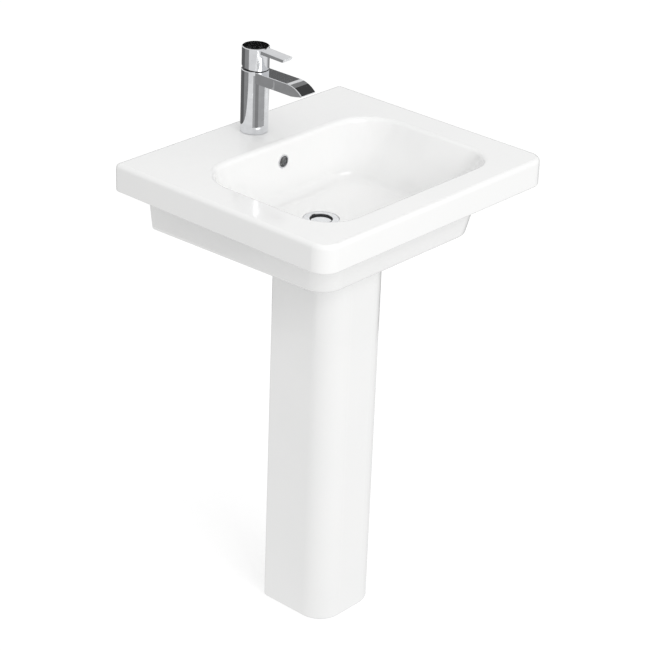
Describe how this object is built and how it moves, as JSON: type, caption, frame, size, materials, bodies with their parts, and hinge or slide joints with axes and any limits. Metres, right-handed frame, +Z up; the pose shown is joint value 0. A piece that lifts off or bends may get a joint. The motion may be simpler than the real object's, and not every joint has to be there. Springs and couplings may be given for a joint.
{
  "type": "pedestal sink",
  "caption": "Rectangular ceramic wash basin on a hollow pedestal, with a single-lever mixer tap, push-button waste and bottle trap.",
  "frame": {"origin": "on the floor, under the centre of the basin's footprint", "axes": "+Z up, +Y towards the wall, +X to the right of someone standing at the sink"},
  "size_m": [0.55, 0.47, 1.002],
  "materials": {
    "white_china": "glossy white glaze",
    "disc_ceramic": "lapped technical ceramic",
    "chrome": "polished chrome plate",
    "black_rubber": "matte",
    "steel": "bright zinc",
    "brass": "machined",
    "white_plastic": "moulded",
    "dark_plastic": "moulded",
    "marker_plastic": "glossy marker"
  },
  "bodies": {
    "stand": {"aerator_housing": "chrome", "aerator_insert": "white_plastic", "aerator_seal": "black_rubber", "basin": "white_china", "cartridge_base": "white_plastic", "cartridge_body": "white_plastic", "cartridge_nut": "brass", "cartridge_seals": "black_rubber", "fixed_disc": "disc_ceramic", "fixing_nut": "brass", "fixing_plate": "steel", "fixing_rubber": "black_rubber", "fixing_stud": "steel", "glide_ring": "dark_plastic", "outlet_nut": "chrome", "outlet_pipe": "chrome", "outlet_washer": "black_rubber", "overflow_ring": "chrome", "pedestal": "white_china", "plug_guide": "white_plastic", "plug_seat": "black_rubber", "tap_base_seal": "black_rubber", "tap_body": "chrome", "trap_body": "chrome", "trap_cup": "chrome", "trap_cup_seal": "black_rubber", "trap_inlet_nut": "chrome", "trap_inlet_tube": "chrome", "trap_inlet_washer": "black_rubber", "waste_backnut": "brass", "waste_body": "chrome", "waste_flange_seal": "black_rubber", "waste_lower_seal": "black_rubber", "waste_washer": "white_plastic"},
    "swivel": {"lever_carrier": "white_plastic", "pivot_pin": "steel", "moving_disc": "disc_ceramic"},
    "lever": {"lever_stem": "steel", "lever_handle": "chrome", "lever_grub_screw": "steel", "index_plug": "marker_plastic"},
    "plug": {"plug_cap": "chrome", "plug_seal": "black_rubber", "plug_stem": "steel"}
  },
  "joints": [
    {"name": "lever_turn", "type": "hinge", "parent": "stand", "child": "swivel", "pos_m": [0, 0.182, 0.975], "axis": [0, 0, 1], "range_deg": [-45, 45]},
    {"name": "lever_lift", "type": "hinge", "parent": "swivel", "child": "lever", "pos_m": [0, 0.182, 0.975], "axis": [-1, 0, 0], "range_deg": [0, 18]},
    {"name": "plug_push", "type": "slide", "parent": "stand", "child": "plug", "axis": [0, 0, 1], "range_m": [0, 0.008]}
  ]
}
